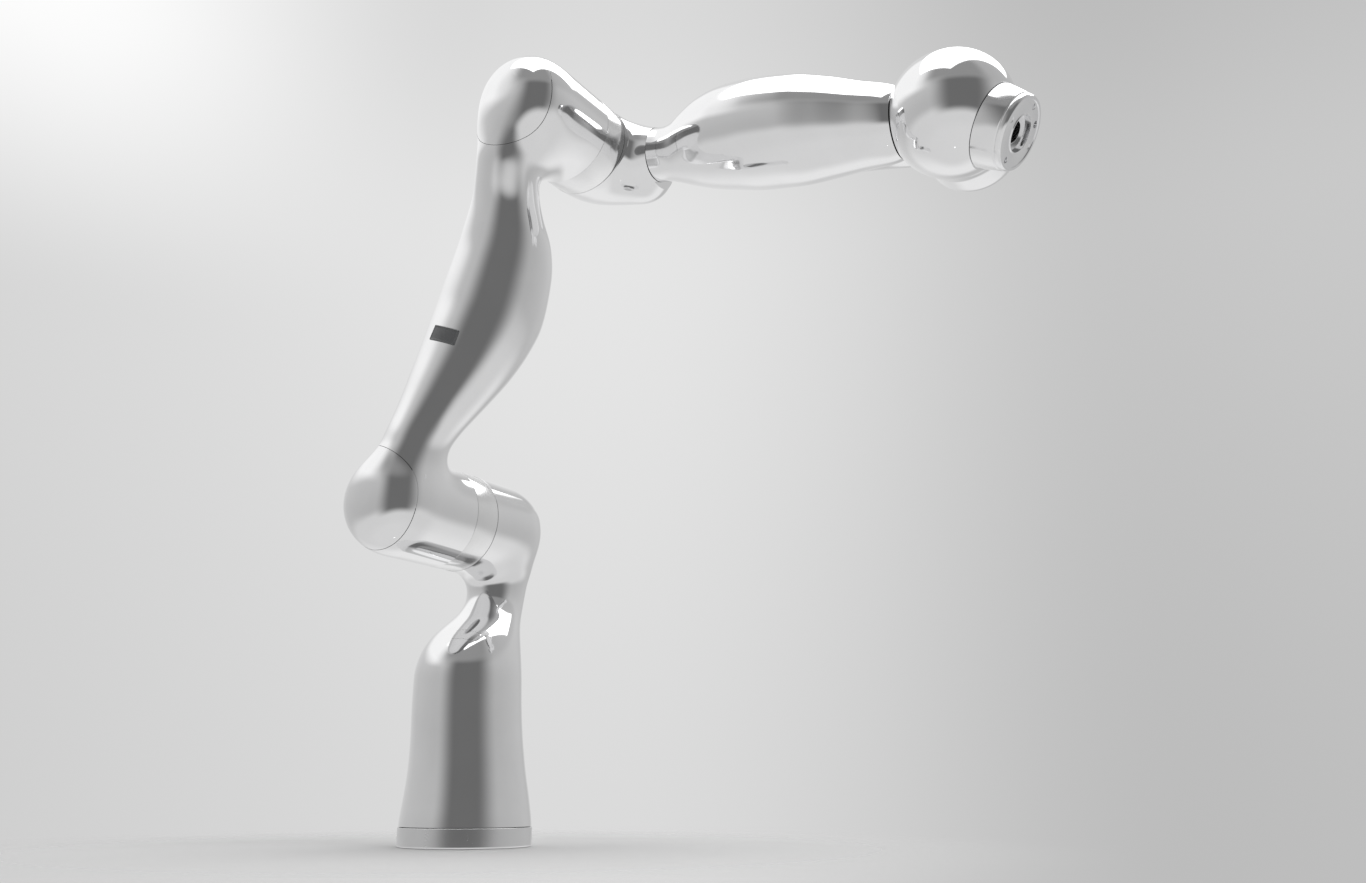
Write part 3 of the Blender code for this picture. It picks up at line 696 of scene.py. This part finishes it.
def metal(name, colour, dark, rough, rough_more, bump, grain=None, grain_axis=None, speck=0.0, aniso=0.0):
    """Metal with polishing marks: cloudy change of tone, fine changes of roughness, faint waviness, and turned grain where grain is set."""
    mat = bpy.data.materials.new(name)
    mat.use_nodes = True
    n = Nodes(mat.node_tree)
    bsdf = mat.node_tree.nodes["Principled BSDF"]
    bsdf.inputs["Metallic"].default_value = 1.0
    where = n.add("ShaderNodeTexCoord").outputs["Object"]
    cloud = n.add("ShaderNodeTexNoise", {"Vector": where, "Scale": 26.0, "Detail": 3.0, "Roughness": 0.55}).outputs["Fac"]
    fine = n.add("ShaderNodeTexNoise", {"Vector": where, "Scale": 900.0, "Detail": 4.0, "Roughness": 0.6}).outputs["Fac"]
    smear = n.add("ShaderNodeTexNoise", {"Vector": n.add("ShaderNodeMapping", {"Vector": where, "Scale": (60.0, 60.0, 9.0)}).outputs[0], "Scale": 1.0, "Detail": 5.0, "Roughness": 0.65}).outputs["Fac"]
    tone = n.ramp(cloud, 0.25, 0.75)
    base = n.mix(tone, (*dark, 1.0), (*colour, 1.0))
    if speck:
        spots = n.ramp(n.add("ShaderNodeTexVoronoi", {"Vector": where, "Scale": 420.0}).outputs["Distance"], 0.02, 0.10)
        base = n.mix(n.math("MULTIPLY", n.math("SUBTRACT", 1.0, spots), speck), base, (0.35, 0.35, 0.36, 1.0))
    mat.node_tree.links.new(base, bsdf.inputs["Base Color"])
    mixed = n.math("ADD", n.math("MULTIPLY", n.ramp(smear, 0.35, 0.7), 0.6), n.math("MULTIPLY", n.ramp(fine, 0.3, 0.7), 0.4))
    roughness = n.math("MULTIPLY_ADD", mixed, rough_more, rough)
    mat.node_tree.links.new(roughness, bsdf.inputs["Roughness"])
    height = n.math("MULTIPLY", fine, 0.5)
    if grain:
        turn = n.add("ShaderNodeTexNoise", {"Vector": n.add("ShaderNodeMapping", {"Vector": where, "Scale": grain}).outputs[0], "Scale": 1.0, "Detail": 2.0, "Roughness": 0.5}).outputs["Fac"]
        height = n.math("ADD", height, n.math("MULTIPLY", turn, 1.4))
    bumped = n.add("ShaderNodeBump", {"Height": height, "Strength": bump, "Distance": 0.00006}).outputs[0]
    mat.node_tree.links.new(bumped, bsdf.inputs["Normal"])
    if aniso:
        bsdf.inputs["Anisotropic"].default_value = aniso
    return mat


def plastic(name, colour, light, rough, bump, scale=700.0, coat=0.0):
    mat = bpy.data.materials.new(name)
    mat.use_nodes = True
    n = Nodes(mat.node_tree)
    bsdf = mat.node_tree.nodes["Principled BSDF"]
    where = n.add("ShaderNodeTexCoord").outputs["Object"]
    cloud = n.add("ShaderNodeTexNoise", {"Vector": where, "Scale": 45.0, "Detail": 4.0}).outputs["Fac"]
    grain = n.add("ShaderNodeTexNoise", {"Vector": where, "Scale": scale, "Detail": 3.0, "Roughness": 0.6}).outputs["Fac"]
    mat.node_tree.links.new(n.mix(n.ramp(cloud, 0.3, 0.7), (*colour, 1.0), (*light, 1.0)), bsdf.inputs["Base Color"])
    mat.node_tree.links.new(n.math("MULTIPLY_ADD", grain, 0.18, rough - 0.09), bsdf.inputs["Roughness"])
    mat.node_tree.links.new(n.add("ShaderNodeBump", {"Height": grain, "Strength": bump, "Distance": 0.0001}).outputs[0], bsdf.inputs["Normal"])
    bsdf.inputs["Coat Weight"].default_value = coat
    return mat


def winding_metal(name):
    """Copper wire laid in rows, with a varnish over it."""
    mat = bpy.data.materials.new(name)
    mat.use_nodes = True
    n = Nodes(mat.node_tree)
    bsdf = mat.node_tree.nodes["Principled BSDF"]
    bsdf.inputs["Metallic"].default_value = 1.0
    bsdf.inputs["Coat Weight"].default_value = 0.4
    where = n.add("ShaderNodeTexCoord").outputs["Object"]
    wave = n.add("ShaderNodeTexWave", {"Vector": where, "Scale": 260.0, "Distortion": 1.2, "Detail": 1.0}).outputs["Fac"]
    cloud = n.add("ShaderNodeTexNoise", {"Vector": where, "Scale": 80.0, "Detail": 3.0}).outputs["Fac"]
    mat.node_tree.links.new(n.mix(n.math("MULTIPLY", wave, cloud), (0.35, 0.13, 0.05, 1.0), (0.86, 0.45, 0.24, 1.0)), bsdf.inputs["Base Color"])
    mat.node_tree.links.new(n.math("MULTIPLY_ADD", cloud, 0.2, 0.3), bsdf.inputs["Roughness"])
    mat.node_tree.links.new(n.add("ShaderNodeBump", {"Height": wave, "Strength": 0.6, "Distance": 0.0003}).outputs[0], bsdf.inputs["Normal"])
    return mat


def board_material(name):
    """Green board with a fine grid of tracks and pads."""
    mat = bpy.data.materials.new(name)
    mat.use_nodes = True
    n = Nodes(mat.node_tree)
    bsdf = mat.node_tree.nodes["Principled BSDF"]
    where = n.add("ShaderNodeTexCoord").outputs["Object"]
    tracks = n.add("ShaderNodeTexBrick", {"Vector": where, "Color1": (0, 0, 0, 1), "Color2": (0.25, 0.25, 0.25, 1), "Mortar": (1, 1, 1, 1), "Scale": 130.0, "Mortar Size": 0.05}).outputs["Color"]
    pads = n.ramp(n.add("ShaderNodeTexVoronoi", {"Vector": where, "Scale": 320.0}).outputs["Distance"], 0.10, 0.14, 1.0, 0.0)
    green = n.mix(tracks, (0.012, 0.10, 0.05, 1.0), (0.03, 0.19, 0.09, 1.0))
    mat.node_tree.links.new(n.mix(pads, green, (0.62, 0.48, 0.22, 1.0)), bsdf.inputs["Base Color"])
    mat.node_tree.links.new(n.math("MULTIPLY_ADD", pads, -0.15, 0.42), bsdf.inputs["Roughness"])
    mat.node_tree.links.new(pads, bsdf.inputs["Metallic"])
    mat.node_tree.links.new(n.add("ShaderNodeBump", {"Height": pads, "Strength": 0.4, "Distance": 0.0002}).outputs[0], bsdf.inputs["Normal"])
    return mat


chrome = metal("chrome_polished", (0.93, 0.93, 0.935), (0.90, 0.90, 0.905), 0.045, 0.035, 0.012)
chrome_cover = metal("chrome_cover", (0.93, 0.93, 0.935), (0.90, 0.90, 0.905), 0.05, 0.035, 0.012)
chrome_foot = metal("chrome_foot", (0.86, 0.86, 0.865), (0.81, 0.81, 0.815), 0.24, 0.04, 0.015, grain=(30.0, 30.0, 1400.0), aniso=0.3)
satin = metal("satin_turned", (0.93, 0.93, 0.93), (0.88, 0.88, 0.885), 0.13, 0.07, 0.05, grain=(25.0, 2600.0, 25.0), aniso=0.3)
machined = metal("machined_flange", (0.92, 0.92, 0.92), (0.86, 0.86, 0.87), 0.10, 0.07, 0.05, aniso=0.3)
drive_metal = metal("drive_aluminium", (0.72, 0.73, 0.74), (0.62, 0.63, 0.64), 0.30, 0.15, 0.25)
bearing_metal = metal("bearing_steel", (0.60, 0.61, 0.62), (0.50, 0.51, 0.53), 0.20, 0.12, 0.15)
gear_metal = metal("gear_steel", (0.52, 0.52, 0.53), (0.42, 0.42, 0.44), 0.28, 0.12, 0.2)
rotor_metal = metal("rotor_steel", (0.50, 0.51, 0.53), (0.38, 0.39, 0.41), 0.32, 0.14, 0.2)
bolt_metal = metal("bolt_steel", (0.55, 0.55, 0.56), (0.40, 0.40, 0.42), 0.25, 0.15, 0.2, speck=0.3)
gold = metal("pin_gold", (0.95, 0.72, 0.32), (0.85, 0.60, 0.25), 0.2, 0.1, 0.1)
socket_plastic = plastic("socket_plastic", (0.018, 0.018, 0.020), (0.030, 0.030, 0.033), 0.45, 0.25)
plate_dark = plastic("plate_lacquer", (0.085, 0.087, 0.090), (0.115, 0.117, 0.12), 0.33, 0.12, 1200.0, 0.3)
copper = winding_metal("copper_winding")
board = board_material("circuit_board")


def dress(obj, mat):
    obj.data.materials.clear()
    obj.data.materials.append(mat)


for name, body, mat, slot, nodes in (
    ("column", "column", chrome, "polished_shell", ["column_shell"]),
    ("upper_arm", "upper_arm", chrome, "polished_shell", ["upper_arm_shell"]),
    ("shoulder_cover", "upper_arm", chrome_cover, "polished_cover", ["shoulder_cover"]),
    ("elbow_cover", "upper_arm", chrome_cover, "polished_cover", ["elbow_cover"]),
    ("elbow", "elbow", chrome, "polished_shell", ["elbow_shell"]),
    ("forearm", "forearm", chrome, "polished_shell", ["forearm_shell"]),
    ("wrist", "wrist", chrome, "polished_shell", ["wrist_shell"]),
):
    o = SHELL[name][0]
    dress(o, mat)
    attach(o, body)
    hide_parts(*nodes)

for o, body, mat, slot, nodes in [
    (foot, "base", chrome_foot, "polished_foot", ["base_foot"]),
    (power, "base", socket_plastic, "connector_plastic", ["base_power_connector"]),
    (network, "base", socket_plastic, "connector_plastic", ["base_network_connector"]),
    (shoulder_ring, "column", satin, "satin_ring", ["shoulder_joint_ring"]),
    (elbow_ring, "elbow", satin, "satin_ring", ["elbow_joint_ring"]),
    (flange, "tool", machined, "machined_flange", ["tool_flange"]),
    (plate, "upper_arm", plate_dark, "plate", ["blank_name_plate"]),
] + [(b, "base", bolt_metal, "bolt_steel", [f"base_bolt_{k + 1}"]) for k, b in enumerate(bolts)] + [(p, "base", gold, None, []) for p in power_pins + network_pins]:
    dress(o, mat)
    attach(o, body)
    if nodes:
        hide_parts(*nodes)

for name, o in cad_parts.items():
    if o.hide_render:
        continue
    for key, mat in (("stator", copper), ("rotor", rotor_metal), ("wave_gear", gear_metal), ("bearing", bearing_metal), ("board", board), ("", drive_metal)):
        if key in name:
            dress(o, mat)
            break


# ---------------------------------------------------------------- floor, light, world, camera
def floor_piece():
    n = 48
    size = 14.0
    xs = np.sign(np.linspace(-1, 1, n)) * np.abs(np.linspace(-1, 1, n)) ** 2 * size
    verts = [(x, y, -0.0006) for x in xs for y in xs]
    faces = [(i * n + j, (i + 1) * n + j, (i + 1) * n + j + 1, i * n + j + 1) for i in range(n - 1) for j in range(n - 1)]
    mesh = bpy.data.meshes.new("floor")
    mesh.from_pydata(verts, [], faces)
    obj = bpy.data.objects.new("floor", mesh)
    bpy.context.scene.collection.objects.link(obj)
    mat = bpy.data.materials.new("floor_pale")
    mat.use_nodes = True
    k = Nodes(mat.node_tree)
    where = k.add("ShaderNodeTexCoord").outputs["Object"]
    cloud = k.add("ShaderNodeTexNoise", {"Vector": where, "Scale": 1.5, "Detail": 3.0}).outputs["Fac"]
    bsdf = mat.node_tree.nodes["Principled BSDF"]
    mat.node_tree.links.new(k.mix(cloud, (0.47, 0.47, 0.47, 1), (0.49, 0.49, 0.49, 1)), bsdf.inputs["Base Color"])
    bsdf.inputs["Roughness"].default_value = 0.75
    far = k.add("ShaderNodeVectorMath", {0: where}, operation="LENGTH").outputs["Value"]
    clear = k.add("ShaderNodeBsdfTransparent").outputs[0]
    join = k.add("ShaderNodeMixShader", {0: k.ramp(far, 0.08, 0.6), 1: bsdf.outputs[0], 2: clear}).outputs[0]
    mat.node_tree.links.new(join, mat.node_tree.nodes["Material Output"].inputs["Surface"])
    mesh.materials.append(mat)
    obj.visible_glossy = False
    return obj


floor_piece()

world = bpy.data.worlds.new("studio")
bpy.context.scene.world = world
world.use_nodes = True
w = Nodes(world.node_tree)
background = world.node_tree.nodes["Background"]
direction = w.add("ShaderNodeTexCoord").outputs["Generated"]
parts = w.add("ShaderNodeSeparateXYZ", {0: direction}).outputs
azimuth = w.math("MULTIPLY", w.math("ARCTAN2", parts[1], parts[0]), 180 / math.pi)  # 0 is +X, 90 is +Y
height = w.math("MULTIPLY", w.math("ARCSINE", parts[2]), 180 / math.pi)


def window(value, low, high, soft_low, soft_high):
    return w.math("MULTIPLY", w.ramp(value, low - soft_low, low + soft_low), w.ramp(value, high + soft_high, high - soft_high))


def turned_azimuth(centre):
    """Degrees from a heading, wrapped to -180 to 180."""
    return w.math("WRAP", w.math("SUBTRACT", azimuth, centre), 180.0, -180.0)


def linear(value):
    """A display grey from 0 to 255 as light."""
    c = value / 255
    return ((c + 0.055) / 1.055) ** 2.4 if c > 0.04 else c / 12.92


def mixed(a, b, t):
    return w.math("ADD", w.math("MULTIPLY", a, w.math("SUBTRACT", 1.0, t)), w.math("MULTIPLY", b, t))


# the studio's walls: a soft grey that changes with the heading, lighter behind the arm and up to the left
walls = world.node_tree.nodes.new("ShaderNodeValToRGB")
stops = [(-180, 198), (-150, 192), (-120, 187), (-60, 182), (0, 180), (30, 187), (60, 193), (80, 198), (92, 196), (101, 190), (111, 214), (122, 228), (136, 221), (150, 212), (165, 204), (180, 198)]
ramp = walls.color_ramp
while len(ramp.elements) < len(stops):
    ramp.elements.new(0.5)
for element, (heading, grey) in zip(ramp.elements, stops):
    element.position = (heading + 180) / 360
    k = linear(grey)
    element.color = (k, k, k, 1)
ramp.interpolation = "B_SPLINE"
world.node_tree.links.new(w.math("MULTIPLY_ADD", azimuth, 1 / 360, 0.5), walls.inputs[0])
wall = w.add("ShaderNodeSeparateColor", {0: walls.outputs[0]}).outputs[0]
wall = w.math("MULTIPLY", wall, w.ramp(height, -4, 30, 0.94, 1.06))


# the floor seen in the metal: one pale tone, lighter behind the arm
ground = mixed(linear(212), linear(236), window(turned_azimuth(105), -45, 45, 25, 25))
ground = mixed(ground, linear(216), w.ramp(height, -35, -60))
wall = mixed(wall, ground, w.ramp(height, -6, -22))
# brighter towards the upper left of the backdrop
wall = w.math("MULTIPLY", wall, w.ramp(height, 24, 37, 1.0, 0.88))
glow = w.math("MULTIPLY", window(turned_azimuth(188), -47, 48, 10, 22), w.ramp(height, 20, 33))
level = mixed(wall, linear(255), w.math("MULTIPLY", glow, 0.95))
backdrop = level
# the dark end of the studio: a grey band above, and a large dark screen below it
band = w.math("MULTIPLY", window(turned_azimuth(-60), -54, 52, 14, 14), w.ramp(height, 32, 44))
level = mixed(level, linear(146), band)
screen = w.math("MULTIPLY", window(turned_azimuth(-52), -42, 42, 19, 22), window(height, -22, 37, 8, 8))
level = mixed(level, linear(108), screen)
# the overhead light box
up = w.math("MAXIMUM", parts[2], 0.02)
t = math.radians(75)
along = w.math("DIVIDE", w.math("ADD", w.math("MULTIPLY", parts[0], math.cos(t)), w.math("MULTIPLY", parts[1], math.sin(t))), up)
across = w.math("DIVIDE", w.math("ADD", w.math("MULTIPLY", parts[0], -math.sin(t)), w.math("MULTIPLY", parts[1], math.cos(t))), up)
overhead = w.math("MULTIPLY", window(along, -0.62, 1.12, 0.03, 0.04), window(across, -0.42, 0.42, 0.03, 0.03))
level = mixed(level, 2.3, overhead)
# the screen and the light box only light the arm; looked at directly, the room is plain and pale all round
level = mixed(level, backdrop, w.add("ShaderNodeLightPath").outputs["Is Camera Ray"])
background.inputs["Strength"].default_value = 1.0
world.node_tree.links.new(w.add("ShaderNodeCombineColor", {0: level, 1: level, 2: level}).outputs[0], background.inputs["Color"])

side_data = bpy.data.lights.new("side_light", "AREA")
side_data.shape = "RECTANGLE"
side_data.size, side_data.size_y = 1.2, 1.2
side_data.energy = 20.0
side = bpy.data.objects.new("side_light", side_data)
bpy.context.scene.collection.objects.link(side)
side.location = (1.5, -0.2, 1.7)
side.rotation_mode = "QUATERNION"
side.rotation_quaternion = Vector((0.0, 0.0, 0.0) - np.array(side.location)).to_track_quat("-Z", "Y")
side.visible_glossy = False
side.visible_camera = False

scene = bpy.context.scene
scene.view_settings.view_transform = "Standard"

camera_data = bpy.data.cameras.new("view")
camera_data.sensor_width = 36.0
camera_data.lens = 1200.0 / 1366.0 * 36.0
camera_data.clip_start, camera_data.clip_end = 0.01, 60.0
camera = bpy.data.objects.new("view", camera_data)
scene.collection.objects.link(camera)
ahead = Vector((-0.480, 0.832, 0.2795)).normalized()
right = Vector((math.cos(math.radians(30)), math.sin(math.radians(30)), 0.0))
right = (right - ahead * right.dot(ahead)).normalized()
above = right.cross(ahead)
rows = [[right[i], above[i], -ahead[i], (0.75866, -0.91098, 0.04910)[i]] for i in range(3)] + [[0, 0, 0, 1]]
from mathutils import Matrix
camera.matrix_world = Matrix(rows)
scene.camera = camera
